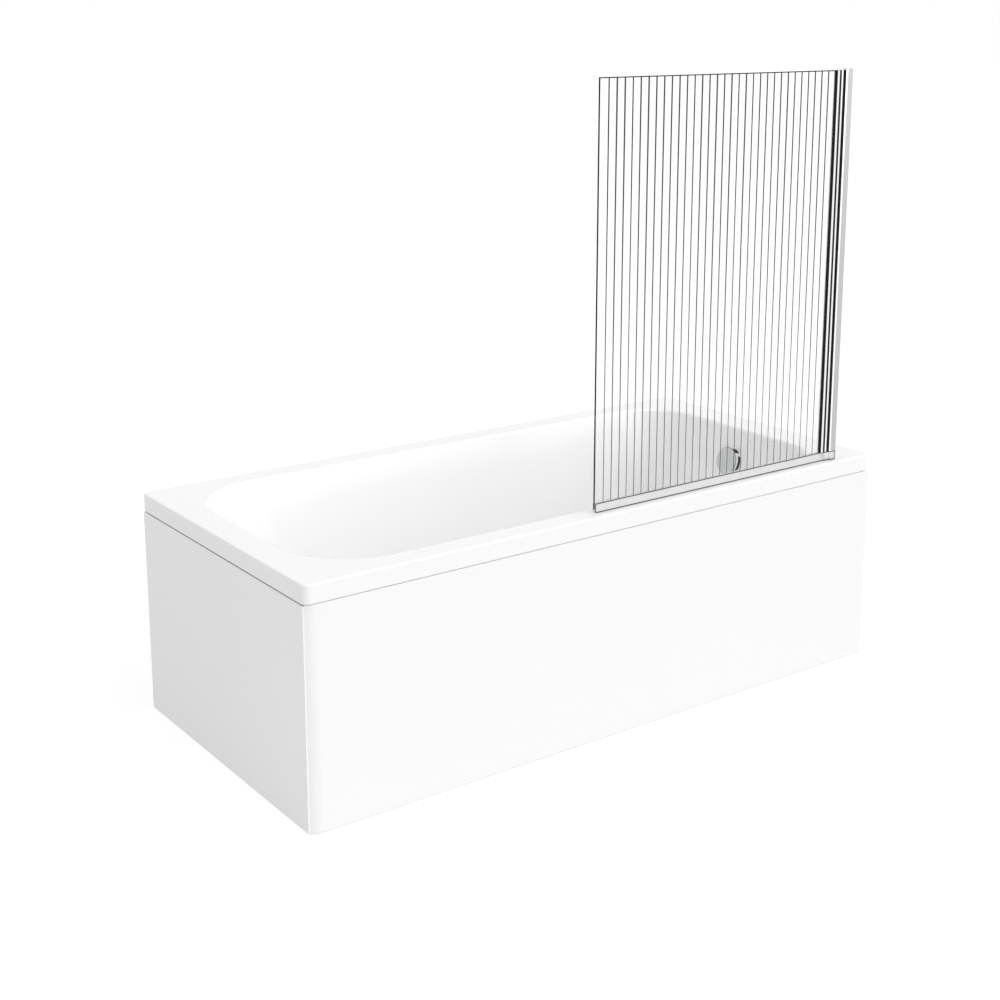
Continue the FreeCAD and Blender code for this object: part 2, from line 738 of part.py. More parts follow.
def make_waste_body():
    flange_low_z = waste_gasket_z - waste_body_flange_thickness
    tail_low_z = body_low_z - waste_tail_length
    body = rod(waste_body_flange_radius, waste_x, 0, flange_low_z, waste_gasket_z)
    body = body.fuse(rod(waste_body_radius, waste_x, 0, body_low_z, flange_low_z))
    body = body.fuse(rod(waste_tail_radius, waste_x, 0, tail_low_z, body_low_z))
    body = body.fuse(lying_rod(spigot_radius, waste_x, inlet_end_x, inlet_z))
    collar_x = inlet_end_x - spigot_length
    body = body.fuse(lying_rod(spigot_collar_radius, collar_x - spigot_collar_height, collar_x, inlet_z))
    thread_low_z = waste_gasket_z - waste_thread_depth
    body = body.cut(rod(waste_tube_radius + fit_clearance, waste_x, 0, thread_low_z, waste_gasket_z))
    chamber_radius = waste_body_radius - waste_body_wall
    body = body.cut(rod(chamber_radius, waste_x, 0, body_low_z + waste_body_wall, thread_low_z))
    body = body.cut(rod(waste_tail_bore, waste_x, 0, tail_low_z, body_low_z + waste_body_wall))
    body = body.cut(lying_rod(spigot_bore, waste_x, inlet_end_x, inlet_z))
    return body.removeSplitter().Solids[0]


nodes["waste_washer"] = ring(
    washer_radius, waste_hole_radius, waste_x, 0, floor_z, washer_top_z)
nodes["waste_flange"] = make_waste_flange()
nodes["waste_gasket"] = ring(
    waste_body_flange_radius, waste_hole_radius, waste_x, 0, waste_gasket_z, underside_z)
nodes["waste_body"] = make_waste_body()

plug_seal_z = flange_top_z + plug_travel + moving_clearance
plug_low_z = plug_seal_z + plug_seal_thickness
plug_stem_low_z = spider_top_z + cartridge_collar_height - plug_stem_engagement
cartridge = rod(
    cartridge_radius, waste_x, 0, spider_top_z + cartridge_collar_height - cartridge_length, spider_top_z)
cartridge = cartridge.fuse(rod(
    cartridge_collar_radius, waste_x, 0, spider_top_z, spider_top_z + cartridge_collar_height))
nodes["plug_cartridge"] = cartridge.cut(rod(
    plug_stem_radius + running_clearance, waste_x, 0,
    spider_top_z + cartridge_collar_height - cartridge_length, spider_top_z + cartridge_collar_height))
plug = rod(plug_radius, waste_x, 0, plug_low_z, plug_low_z + plug_thickness)
plug = plug.makeFillet(plug_edge_radius, edges_at(plug, plug_low_z + plug_thickness))
nodes["waste_plug"] = plug.fuse(rod(plug_stem_radius, waste_x, 0, plug_stem_low_z, plug_low_z)).Solids[0]
nodes["plug_seal"] = ring(
    plug_seal_radius, plug_stem_radius + fit_clearance, waste_x, 0, plug_seal_z, plug_low_z)

# Overflow

body_face_w = -shell_wall - overflow_gasket_thickness
body_back_w = body_face_w - overflow_body_depth
faceplate_radius = overflow_cover_radius - overflow_cover_wall - fit_clearance
chamber_w = body_back_w + overflow_body_wall
spigot_centre = overflow_point + overflow_normal * ((body_face_w + body_back_w) / 2)
spigot_collar_z = spigot_centre.z - overflow_body_radius - spigot_collar_height * 2
spigot_low_z = spigot_collar_z - spigot_length


def make_overflow_cover():
    cover = rod(overflow_cover_radius, 0, 0, 0, overflow_cover_depth)
    cover = cover.makeFillet(overflow_cover_edge_radius, edges_at(cover, overflow_cover_depth))
    inner_radius = overflow_cover_radius - overflow_cover_wall
    cover = cover.cut(rod(inner_radius, 0, 0, 0, overflow_cover_depth - overflow_cover_face))
    slot = box(
        inner_radius / 2, overflow_cover_radius + overflow_cover_wall,
        -overflow_slot_width / 2, overflow_slot_width / 2, 0, overflow_slot_depth)
    slot.rotate(V(0, 0, 0), UP, 180)
    return cover.cut(slot).Solids[0]


def make_faceplate():
    plate = rod(faceplate_radius, 0, 0, 0, faceplate_thickness)
    plate = plate.cut(rod(overflow_screw_radius + screw_clearance, 0, 0, 0, faceplate_thickness))
    for index in range(faceplate_hole_count):
        angle = 2 * math.pi * index / faceplate_hole_count
        hole_x = faceplate_hole_circle * math.cos(angle)
        hole_y = faceplate_hole_circle * math.sin(angle)
        plate = plate.cut(rod(faceplate_hole_radius, hole_x, hole_y, 0, faceplate_thickness))
    return plate


def make_overflow_body():
    body = rod(overflow_gasket_radius, 0, 0, body_face_w - overflow_flange_thickness, body_face_w)
    body = body.fuse(rod(overflow_body_radius, 0, 0, body_back_w, body_face_w - overflow_flange_thickness))
    body = on_overflow(body)
    body = body.fuse(rod(spigot_radius, spigot_centre.x, 0, spigot_low_z, spigot_centre.z))
    body = body.fuse(rod(
        spigot_collar_radius, spigot_centre.x, 0, spigot_collar_z, spigot_collar_z + spigot_collar_height))
    chamber_radius = overflow_body_radius - overflow_body_wall
    chamber = ring(chamber_radius, overflow_boss_radius, 0, 0, chamber_w, body_face_w)
    body = body.cut(on_overflow(chamber))
    tip_w = faceplate_thickness - overflow_screw_length - screw_clearance
    body = body.cut(on_overflow(rod(overflow_screw_radius + screw_clearance, 0, 0, tip_w, body_face_w)))
    bore = rod(spigot_bore, spigot_centre.x, 0, spigot_low_z, spigot_centre.z)
    keep = on_overflow(rod(overflow_boss_radius, 0, 0, body_back_w, body_face_w))
    return body.cut(bore.cut(keep)).removeSplitter().Solids[0]


def make_overflow_pipe():
    """The pipe from the overflow down and round to the waste: two straight runs and one bend."""
    inner = spigot_radius + fit_clearance
    top = V(spigot_centre.x, 0, spigot_collar_z)
    bend_start = V(spigot_centre.x, 0, inlet_z + pipe_bend_radius)
    bend_end = V(spigot_centre.x - pipe_bend_radius, 0, inlet_z)
    reach = pipe_bend_radius * (1 - math.sqrt(0.5))
    bend_middle = V(spigot_centre.x - reach, 0, inlet_z + reach)
    finish = V(inlet_end_x - spigot_length, 0, inlet_z)
    path = Part.Wire([
        Part.makeLine(top, bend_start),
        arc(bend_start, bend_middle, bend_end),
        Part.makeLine(bend_end, finish),
    ])
    solids = []
    for radius in (inner + pipe_wall, inner):
        circle = Part.Wire(Part.makeCircle(radius, top, V(0, 0, -1)))
        solids.append(path.makePipeShell([circle], True, False))
    return solids[0].cut(solids[1]).Solids[0]


nodes["overflow_cover"] = on_overflow(make_overflow_cover())
nodes["overflow_faceplate"] = on_overflow(make_faceplate())
screw = rod(overflow_screw_radius, 0, 0, faceplate_thickness - overflow_screw_length, faceplate_thickness)
screw = screw.fuse(rod(
    overflow_screw_head_radius, 0, 0, faceplate_thickness, faceplate_thickness + overflow_screw_head_height))
nodes["overflow_screw"] = on_overflow(screw)
nodes["overflow_gasket"] = on_overflow(ring(
    overflow_gasket_radius, overflow_hole_radius, 0, 0, body_face_w, -shell_wall))
nodes["overflow_body"] = make_overflow_body()
nodes["overflow_pipe"] = make_overflow_pipe()

# Screen: the fixed profile at the wall

wall_x = end_x - wall_line_inset
screen_y = front_y + screen_front_setback
screen_top_z = rim_height + screen_height
profile_top_z = screen_top_z - pivot_cap_thickness
profile_x = wall_x - wall_profile_depth
post_x = profile_x
half_profile = wall_profile_thickness / 2
half_post = half_profile - wall_profile_wall - fit_clearance
axis_x = post_x - seal_strip_width - moving_clearance - knuckle_radius
pivot_low_z = rim_height + bottom_seal_height
pivot_top_z = profile_top_z - moving_clearance
block_top_z = pivot_low_z - moving_clearance


def wall_profile_block(z0, z1):
    """The wall profile's outside form, its mouth bevelled."""
    bevel_y = half_profile - wall_profile_bevel_depth
    return prism([
        V(wall_x, screen_y - half_profile, z0),
        V(profile_x + wall_profile_bevel, screen_y - half_profile, z0),
        V(profile_x, screen_y - bevel_y, z0),
        V(profile_x, screen_y + bevel_y, z0),
        V(profile_x + wall_profile_bevel, screen_y + half_profile, z0),
        V(wall_x, screen_y + half_profile, z0),
    ], V(0, 0, z1 - z0))


def make_wall_profile():
    """A channel open to the bath, with the fixing holes through its web."""
    body = wall_profile_block(block_top_z, profile_top_z)
    inner_y = half_profile - wall_profile_wall
    body = body.cut(box(
        profile_x, wall_x - wall_profile_wall, screen_y - inner_y, screen_y + inner_y,
        block_top_z, profile_top_z))
    for hole_z in (rim_height + wall_hole_end_gap, profile_top_z - wall_hole_end_gap):
        body = body.cut(Part.makeCylinder(
            wall_hole_radius, wall_profile_wall, V(wall_x - wall_profile_wall, screen_y, hole_z), V(1, 0, 0)))
    return body


def across_rod(radius, x, y0, y1, z):
    """A cylinder along Y."""
    return Part.makeCylinder(radius, y1 - y0, V(x, y0, z), V(0, 1, 0))


wall_profile = make_wall_profile()
inner_post = box(
    post_x, post_x + post_depth, screen_y - half_post, screen_y + half_post,
    block_top_z, profile_top_z)
inner_post = inner_post.cut(box(
    post_x + post_wall, post_x + post_depth - post_wall, screen_y - half_post + post_wall,
    screen_y + half_post - post_wall, block_top_z, profile_top_z))
lock_screws = []
lock_x = post_x + post_depth / 2
lock_face_y = screen_y + half_profile
for lock_z in spread(rim_height + wall_hole_end_gap, profile_top_z - wall_hole_end_gap, lock_screw_count):
    lock_hole = across_rod(
        lock_screw_radius + screw_clearance, lock_x, lock_face_y - lock_screw_length, lock_face_y, lock_z)
    wall_profile = wall_profile.cut(lock_hole)
    inner_post = inner_post.cut(lock_hole)
    shank = across_rod(lock_screw_radius, lock_x, lock_face_y - lock_screw_length, lock_face_y, lock_z)
    head = across_rod(
        lock_screw_head_radius, lock_x, lock_face_y, lock_face_y + lock_screw_head_height, lock_z)
    lock_screws.append(shank.fuse(head))
nodes["wall_profile"] = wall_profile
nodes["inner_post"] = inner_post
nodes["profile_screws"] = Part.makeCompound(lock_screws)
nodes["vertical_seal"] = box(
    post_x - seal_strip_width, post_x,
    screen_y - seal_strip_thickness / 2, screen_y + seal_strip_thickness / 2,
    block_top_z, profile_top_z)


def round_nosed(radius, x1, half_width, z0, z1):
    """A plate round the pivot line: a half disc on the open side and a straight tongue to x1."""
    plate = rod(radius, axis_x, screen_y, z0, z1)
    return plate.fuse(box(axis_x, x1, screen_y - half_width, screen_y + half_width, z0, z1)).removeSplitter()


# The profiles stand on a clear block on the rim under one cap, which hold the two pivot pins

pivot_block = round_nosed(pivot_block_radius, post_x, pivot_block_radius, rim_height, block_top_z)
pivot_block = pivot_block.fuse(wall_profile_block(rim_height, block_top_z)).removeSplitter()
pivot_cap = round_nosed(knuckle_radius, profile_x, knuckle_radius, profile_top_z, screen_top_z)
pivot_cap = pivot_cap.fuse(wall_profile_block(profile_top_z, screen_top_z)).removeSplitter()
pin_fit = hinge_pin_radius + fit_clearance
pivot_block = pivot_block.cut(rod(pin_fit, axis_x, screen_y, block_top_z - hinge_pin_seat, block_top_z))
pivot_cap = pivot_cap.cut(rod(pin_fit, axis_x, screen_y, profile_top_z, screen_top_z))
nodes["pivot_block"] = pivot_block
nodes["pivot_cap"] = pivot_cap
nodes["hinge_pin_lower"] = rod(
    hinge_pin_radius, axis_x, screen_y, block_top_z - hinge_pin_seat, block_top_z + hinge_pin_length)
nodes["hinge_pin_upper"] = rod(
    hinge_pin_radius, axis_x, screen_y, profile_top_z - hinge_pin_length, screen_top_z)

# Screen: the pivoting leaf

glass_left_x = wall_x - screen_width
channel_x = axis_x - channel_length
pocket_x = channel_x + glass_pocket
half_channel = channel_thickness / 2
half_glass = glass_thickness / 2
half_slot = half_glass + glazing_gasket_thickness
bush_radius = hinge_pin_radius + running_clearance + bush_wall
nose_x = channel_x - glazing_gasket_nose
groove_x = pocket_x
seal_right_x = axis_x - pivot_block_radius - moving_clearance * 2
glass_low_z = rim_height + bottom_seal_gap + bottom_seal_base


def groove_strip(side):
    """The strip that fills the groove along one face of the pivot profile."""
    faces = sorted((half_channel * side, (half_channel - channel_groove_depth) * side))
    return box(
        groove_x - channel_groove_width / 2, groove_x + channel_groove_width / 2,
        screen_y + faces[0], screen_y + faces[1], pivot_low_z, pivot_top_z)


def make_pivot_profile():
    """The leaf's edge profile: a round knuckle on the pivot line and a channel for the glass."""
    body = rod(knuckle_radius, axis_x, screen_y, pivot_low_z, pivot_top_z)
    body = body.fuse(box(
        channel_x, axis_x, screen_y - half_channel, screen_y + half_channel, pivot_low_z, pivot_top_z))
    body = body.cut(box(
        channel_x, pocket_x, screen_y - half_slot, screen_y + half_slot, pivot_low_z, pivot_top_z))
    for side in (-1, 1):
        body = body.cut(groove_strip(side))
    body = body.cut(rod(bush_radius + fit_clearance, axis_x, screen_y, pivot_low_z, pivot_top_z))
    return body.removeSplitter()


def make_glass():
    """The pane: flat at the back and in its channel, with a row of round flutes on its front."""
    back = screen_y + half_glass
    front = screen_y - half_glass
    flute_left = glass_left_x + glass_edge_margin
    pitch = (nose_x - flute_left) / flute_count
    edges = []
    spot = V(glass_left_x, front + flute_depth, glass_low_z)
    start = V(glass_left_x, back, glass_low_z)
    edges.append(Part.makeLine(start, spot))
    cusp = V(flute_left, front + flute_depth, glass_low_z)
    edges.append(Part.makeLine(spot, cusp))
    for index in range(flute_count):
        next_cusp = V(flute_left + pitch * (index + 1), front + flute_depth, glass_low_z)
        crest = V(flute_left + pitch * (index + 0.5), front, glass_low_z)
        edges.append(arc(cusp, crest, next_cusp))
        cusp = next_cusp
    corners = [
        cusp, V(nose_x, front, glass_low_z),
        V(pocket_x, front, glass_low_z), V(pocket_x, back, glass_low_z),
    ]
    for first, second in zip(corners, corners[1:]):
        edges.append(Part.makeLine(first, second))
    edges.append(Part.makeLine(corners[-1], start))
    pane = Part.Face(Part.Wire(edges)).extrude(V(0, 0, pivot_top_z - glass_low_z))
    return pane.cut(box(
        seal_right_x, pocket_x + glass_thickness, front - glass_thickness, back + glass_thickness,
        glass_low_z, pivot_low_z))


def make_outer_gasket():
    """The black gasket on the pane's front: a leg in the channel and a nose outside it."""
    outline = []
    for x, depth in (
        (pocket_x, half_glass), (nose_x, half_glass), (nose_x, half_slot),
        (nose_x + glazing_gasket_thickness, half_channel), (channel_x, half_channel),
        (channel_x, half_slot), (pocket_x, half_slot),
    ):
        outline.append(V(x, screen_y - depth, pivot_low_z))
    return prism(outline, V(0, 0, pivot_top_z - pivot_low_z))


def make_bottom_seal():
    """The clear strip on the pane's lower edge: two lips on the glass over a hollow bulb."""
    low = rim_height + bottom_seal_gap
    half = half_glass + bottom_seal_wall
    body = box(
        glass_left_x, seal_right_x, screen_y - half, screen_y + half,
        low, pivot_low_z - moving_clearance)
    corner = []
    for edge in body.Edges:
        bounds = edge.BoundBox
        if abs(bounds.XMax - glass_left_x) < 1e-4 and abs(bounds.ZMax - low) < 1e-4:
            corner.append(edge)
    body = body.makeFillet(bottom_seal_corner_radius, corner)
    body = body.cut(box(
        glass_left_x, seal_right_x, screen_y - half_glass, screen_y + half_glass, glass_low_z, pivot_low_z))
    return body.cut(box(
        glass_left_x, seal_right_x,
        screen_y - half + bottom_seal_bulb_wall, screen_y + half - bottom_seal_bulb_wall,
        low + bottom_seal_bulb_wall, glass_low_z - bottom_seal_bulb_wall))


nodes["glass_pane"] = make_glass()
nodes["pivot_profile"] = make_pivot_profile()
nodes["glazing_gasket_outer"] = make_outer_gasket()
nodes["glazing_gasket_inner"] = box(
    channel_x, pocket_x, screen_y + half_glass, screen_y + half_slot, pivot_low_z, pivot_top_z)
nodes["bottom_seal"] = make_bottom_seal()
nodes["profile_inserts"] = Part.makeCompound([groove_strip(-1), groove_strip(1)])
bush_bore = hinge_pin_radius + running_clearance
nodes["hinge_bush_lower"] = ring(
    bush_radius, bush_bore, axis_x, screen_y, pivot_low_z, pivot_low_z + bush_length)
nodes["hinge_bush_upper"] = ring(
    bush_radius, bush_bore, axis_x, screen_y, pivot_top_z - bush_length, pivot_top_z)

os.makedirs("parts", exist_ok=True)
for node_name, node_shape in nodes.items():
    save(node_name, node_shape)
print(len(nodes), "nodes; pivot at", round(axis_x, 3), round(screen_y, 3), "waste at", round(waste_x, 3))
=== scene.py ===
import json
import math
import bpy
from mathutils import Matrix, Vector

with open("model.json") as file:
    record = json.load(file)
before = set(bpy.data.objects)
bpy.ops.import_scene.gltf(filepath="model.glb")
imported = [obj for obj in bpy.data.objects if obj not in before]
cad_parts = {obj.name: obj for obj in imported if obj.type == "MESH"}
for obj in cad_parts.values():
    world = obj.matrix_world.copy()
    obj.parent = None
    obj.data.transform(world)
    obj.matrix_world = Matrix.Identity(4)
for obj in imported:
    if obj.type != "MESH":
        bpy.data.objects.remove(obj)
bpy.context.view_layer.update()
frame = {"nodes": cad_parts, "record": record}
nodes = frame["nodes"]
scene = bpy.context.scene

# Camera: lens and place in millimetres and metres, shifted as the photograph is framed
camera_lens = 57.53
camera_sensor = 36.0
camera_reach = 200.0
camera_shift = -0.13
camera_place = (-2.3280, -3.1153, 1.6958)
camera_yaw = 35.97
camera_pitch = 12.626

# Light: soft suns as strength and direction, soft boxes as power, size, place and target
ambient = 0.67
sun_softness = 60.0
suns = {
    "key": (0.8, (0.45, -0.54, 0.74)),
    "front": (1.06, (0.3, -0.93, 0.2)),
    "head": (0.38, (-0.45, -0.1, 0.89)),
}
boxes = {
    "end_fill": (0.08, 0.4, (-1.25, -0.38, 0.28), (-0.85, -0.38, 0.28)),
}
floor_glow = 0.84
floor_shade = 0.2
bounce_glow = 0.26
bounce_shade = 0.4
floor_reach = 40.0
floor_drop = 0.0008

# Painted dark lines of the glass and of its lower seal, shade for the light they bend, in metres
flute_start = -0.064
flute_end = 0.6797
flute_count = 32
glass_edge = -0.0655
glass_top = 1.5567
glass_middle = -0.37
seal_top = 0.5837
seal_front = -0.3745
seal_corner = (-0.061, 0.5656)
seal_radius = 0.005
line_width = 0.0024
block_edge = 0.734

# Each flute's painted dark line: two heights in metres and its half width there, as a share of the flutes' pitch
flute_line = (0.6, 1.5, 0.046, 0.093)
flute_end_gap = 0.4

# Where the shell shows its back: below the skirt, under the rim, and facing away from the basin's middle
skirt_foot = 0.5155
rim_under = 0.525
basin_middle = (-0.02, 0.0, 0.5)

# The overflow's place on the foot wall and the lean of that wall
overflow_point = (0.7307, 0.0, 0.468)
overflow_lean = 14.2
drum_near_wall = 0.008

# The painted reflection streaks on the overflow's drum: where each fades in and out with the height that its
# face turns to
high_reflection_streak = (0.68, 0.74, 0.93, 0.98)
low_reflection_streak = (-0.78, -0.66, 0.45, 0.55)

# The part of a noise that is spread over a finish's whole range
noise_low = 0.3
noise_high = 0.7


def spot(tree, kind, **settings):
    """A new shader node with its own properties set."""
    node = tree.nodes.new("ShaderNode" + kind)
    for key, value in settings.items():
        setattr(node, key, value)
    return node


def feed(tree, socket, value):
    """Links a socket to an output, or sets it to a plain value."""
    if isinstance(value, bpy.types.NodeSocket):
        tree.links.new(value, socket)
    elif value is not None:
        socket.default_value = value


def calc(tree, operation, first, second=None, third=None):
    """One step of arithmetic."""
    node = spot(tree, "Math", operation=operation)
    for socket, value in zip(node.inputs, (first, second, third)):
        feed(tree, socket, value)
    return node.outputs[0]


def span(tree, value, low, high, to_low=0.0, to_high=1.0, smooth=False):
    """Maps a value from one range to another, held at the ends."""
    node = spot(tree, "MapRange", interpolation_type="SMOOTHSTEP" if smooth else "LINEAR")
    feed(tree, node.inputs["Value"], value)
    numbers = {"From Min": low, "From Max": high, "To Min": to_low, "To Max": to_high}
    for name, number in numbers.items():
        feed(tree, node.inputs[name], number)
    return node.outputs["Result"]


def blend(tree, factor, first, second):
    """Mixes two colours."""
    node = spot(tree, "Mix", data_type="RGBA")
    feed(tree, node.inputs["Factor"], factor)
    feed(tree, node.inputs[6], first)
    feed(tree, node.inputs[7], second)
    return node.outputs[2]


def place(tree, scale=(1, 1, 1), turn=(0, 0, 0)):
    """Object coordinates in metres, turned and then stretched along the turned axes."""
    node = spot(tree, "Mapping", vector_type="TEXTURE")
    tree.links.new(spot(tree, "TexCoord").outputs["Object"], node.inputs["Vector"])
    node.inputs["Scale"].default_value = [1.0 / s for s in scale]
    node.inputs["Rotation"].default_value = [math.radians(a) for a in turn]
    return node.outputs["Vector"]


def axes(tree, output="Object"):
    """The three parts of a place or a normal."""
    node = spot(tree, "SeparateXYZ")
    tree.links.new(spot(tree, "TexCoord").outputs[output], node.inputs[0])
    return node.outputs


def noise(tree, vector, scale, detail):
    """Soft noise from nought to one."""
    node = spot(tree, "TexNoise")
    feed(tree, node.inputs["Vector"], vector)
    for name, value in (("Scale", scale), ("Detail", detail), ("Roughness", 0.55)):
        node.inputs[name].default_value = value
    return node.outputs["Fac"]


def uneven(tree, scale, detail, low, high):
    """A value that wanders between two others over the surface."""
    return span(tree, noise(tree, place(tree), scale, detail), noise_low, noise_high, low, high)


def cells(tree, vector, scale):
    """Cells, each with a colour of its own."""
    node = spot(tree, "TexVoronoi")
    feed(tree, node.inputs["Vector"], vector)
    node.inputs["Scale"].default_value = scale
    return node


def relief(tree, height, depth, under=None):
    """A bump whose height of 1 stands for a depth in metres."""
    node = spot(tree, "Bump")
    node.inputs["Strength"].default_value = 1.0
    node.inputs["Distance"].default_value = depth
    feed(tree, node.inputs["Height"], height)
    feed(tree, node.inputs["Normal"], under)
    return node.outputs["Normal"]


def material(name, colour, roughness, **sockets):
    """A new material and its principled shader."""
    made = bpy.data.materials.new(name)
    made.use_nodes = True
    shader = made.node_tree.nodes["Principled BSDF"]
    shader.inputs["Base Color"].default_value = (*colour, 1.0)
    shader.inputs["Roughness"].default_value = roughness
    for key, value in sockets.items():
        shader.inputs[key.replace("_", " ")].default_value = value
    return made, made.node_tree, shader


def glossy_white(name, colour, low, high, peel):
    """Cast or pressed acrylic: a slow drift in tone and gloss and a faint orange peel."""
    made, tree, shader = material(name, colour, low, IOR=1.49)
    drift = noise(tree, place(tree), 3.0, 2.0)
    deep = [c * 0.995 for c in colour] + [1.0]
    feed(tree, shader.inputs["Base Color"], blend(tree, drift, deep, (*colour, 1.0)))
    feed(tree, shader.inputs["Roughness"], uneven(tree, 9.0, 4.0, low, high))
    feed(tree, shader.inputs["Normal"], relief(tree, noise(tree, place(tree), 55.0, 1.0), peel))
    return made, tree, shader


def make_acrylic():
    """White acrylic, with chopped glass strand and resin on every face that the room doesn't see."""
    made, tree, shader = glossy_white("acrylic", (0.9, 0.9, 0.9), 0.1, 0.17, 0.00004)
    shine = shader.inputs["Base Color"].links[0].from_socket
    gloss = shader.inputs["Roughness"].links[0].from_socket
    peel = shader.inputs["Normal"].links[0].from_socket
    coordinates = spot(tree, "TexCoord")
    outward = spot(tree, "VectorMath", operation="SUBTRACT")
    tree.links.new(coordinates.outputs["Object"], outward.inputs[0])
    outward.inputs[1].default_value = basin_middle
    facing = spot(tree, "VectorMath", operation="DOT_PRODUCT")
    tree.links.new(outward.outputs[0], facing.inputs[0])
    tree.links.new(coordinates.outputs["Normal"], facing.inputs[1])
    low = calc(tree, "LESS_THAN", axes(tree)["Z"], skirt_foot)
    high = calc(tree, "GREATER_THAN", axes(tree)["Z"], rim_under)
    outside = calc(tree, "MULTIPLY", calc(tree, "GREATER_THAN", facing.outputs["Value"], 0.0), low)
    under = calc(tree, "MULTIPLY", calc(tree, "LESS_THAN", axes(tree, "Normal")["Z"], -0.3), high)
    back = calc(tree, "MAXIMUM", outside, under)
    strands = None
    turns = ((0, 0, 0), (0, 0, 60), (0, 0, 120), (0, 55, 0), (0, -55, 0), (0, 50, 90), (0, -50, 90))
    for turn in turns:
        lines = noise(tree, place(tree, (22, 240, 240), turn), 1.0, 2.0)
        lines = span(tree, lines, 0.57, 0.66, smooth=True)
        strands = lines if strands is None else calc(tree, "MAXIMUM", strands, lines)
    resin = blend(tree, strands, (0.62, 0.59, 0.5, 1), (0.8, 0.78, 0.71, 1))
    feed(tree, shader.inputs["Base Color"], blend(tree, back, shine, resin))
    feed(tree, shader.inputs["Roughness"], calc(tree, "ADD", gloss, calc(tree, "MULTIPLY", back, 0.5)))
    rough = calc(tree, "MULTIPLY", strands, back)
    feed(tree, shader.inputs["Normal"], relief(tree, rough, 0.0006, under=peel))
    return made


def make_timber(name, turn):
    """Planed softwood with its grain along one axis."""
    made, tree, shader = material(name, (0.6, 0.43, 0.25), 0.6)
    along = place(tree, (1.5, 26, 26), turn)
    warp = noise(tree, along, 1.2, 3.0)
    rings = spot(tree, "TexWave", wave_type="RINGS", rings_direction="X", wave_profile="SAW")
    feed(tree, rings.inputs["Vector"], along)
    for key, value in (("Scale", 1.1), ("Distortion", 5.0), ("Detail", 2.0), ("Detail Scale", 1.4)):
        rings.inputs[key].default_value = value
    tone = blend(tree, rings.outputs["Fac"], (0.66, 0.49, 0.3, 1), (0.47, 0.31, 0.16, 1))
    fibre = noise(tree, place(tree, (8, 500, 500), turn), 1.0, 3.0)
    streaks = span(tree, fibre, 0.35, 0.7, 0.0, 0.35)
    feed(tree, shader.inputs["Base Color"], blend(tree, streaks, tone, (0.36, 0.22, 0.1, 1)))
    feed(tree, shader.inputs["Roughness"], span(tree, warp, noise_low, noise_high, 0.5, 0.72))
    feed(tree, shader.inputs["Normal"], relief(tree, fibre, 0.0002))
    return made


def make_board():
    """Chipboard: pressed flakes in several browns."""
    made, tree, shader = material("board", (0.55, 0.4, 0.24), 0.75)
    flakes = cells(tree, place(tree, (1, 1.6, 1.3), (0, 0, 25)), 210.0)
    tone = spot(tree, "SeparateColor")
    tree.links.new(flakes.outputs["Color"], tone.inputs[0])
    chips = blend(tree, tone.outputs["Red"], (0.62, 0.46, 0.28, 1), (0.4, 0.26, 0.13, 1))
    dust = noise(tree, place(tree), 700.0, 2.0)
    fines = span(tree, dust, 0.4, 0.65, 0.0, 0.5)
    feed(tree, shader.inputs["Base Color"], blend(tree, fines, chips, (0.7, 0.56, 0.37, 1)))
    feed(tree, shader.inputs["Normal"], relief(tree, calc(tree, "ADD", tone.outputs["Green"], dust), 0.0003))
    return made


def make_plastic(name, colour, low, high, grain, depth, **sockets):
    """Moulded plastic or rubber: a fine spark grain with uneven gloss and tone."""
    made, tree, shader = material(name, colour, low, **sockets)
    tone = noise(tree, place(tree), 14.0, 3.0)
    deep = [c * 0.9 for c in colour] + [1.0]
    feed(tree, shader.inputs["Base Color"], blend(tree, tone, deep, (*colour, 1.0)))
    feed(tree, shader.inputs["Roughness"], uneven(tree, 60.0, 4.0, low, high))
    feed(tree, shader.inputs["Normal"], relief(tree, noise(tree, place(tree), grain, 2.0), depth))
    return made


def make_metal(name, colour, low, high, stretch, scale, depth):
    """Polished or brushed metal: fine drawn lines along one axis and slow cloudiness."""
    made, tree, shader = material(name, colour, low, Metallic=1.0)
    lines = noise(tree, place(tree, stretch), scale, 3.0)
    cloud = noise(tree, place(tree), 25.0, 3.0)
    deep = [c * 0.93 for c in colour] + [1.0]
    feed(tree, shader.inputs["Base Color"], blend(tree, lines, deep, (*colour, 1.0)))
    both = calc(tree, "MULTIPLY_ADD", lines, 0.5, calc(tree, "MULTIPLY", cloud, 0.5))
    feed(tree, shader.inputs["Roughness"], span(tree, both, noise_low, noise_high, low, high))
    feed(tree, shader.inputs["Normal"], relief(tree, lines, depth))
    return made, tree, shader


def make_chrome(name, colour, low, high):
    """Polished chrome plate."""
    return make_metal(name, colour, low, high, (1, 1, 1), 40.0, 0.00001)


def make_zinc():
    """Bright zinc plate with its spangle."""
    made, tree, shader = material("zinc_steel", (0.6, 0.63, 0.67), 0.3, Metallic=1.0)
    spangle = cells(tree, place(tree), 260.0)
    tone = spot(tree, "SeparateColor")
    tree.links.new(spangle.outputs["Color"], tone.inputs[0])
    plate = blend(tree, tone.outputs["Red"], (0.5, 0.54, 0.6, 1), (0.72, 0.74, 0.76, 1))
    feed(tree, shader.inputs["Base Color"], plate)
    feed(tree, shader.inputs["Roughness"], span(tree, tone.outputs["Green"], 0.0, 1.0, 0.3, 0.45))
    feed(tree, shader.inputs["Normal"], relief(tree, noise(tree, place(tree), 900.0, 2.0), 0.00003))
    return made


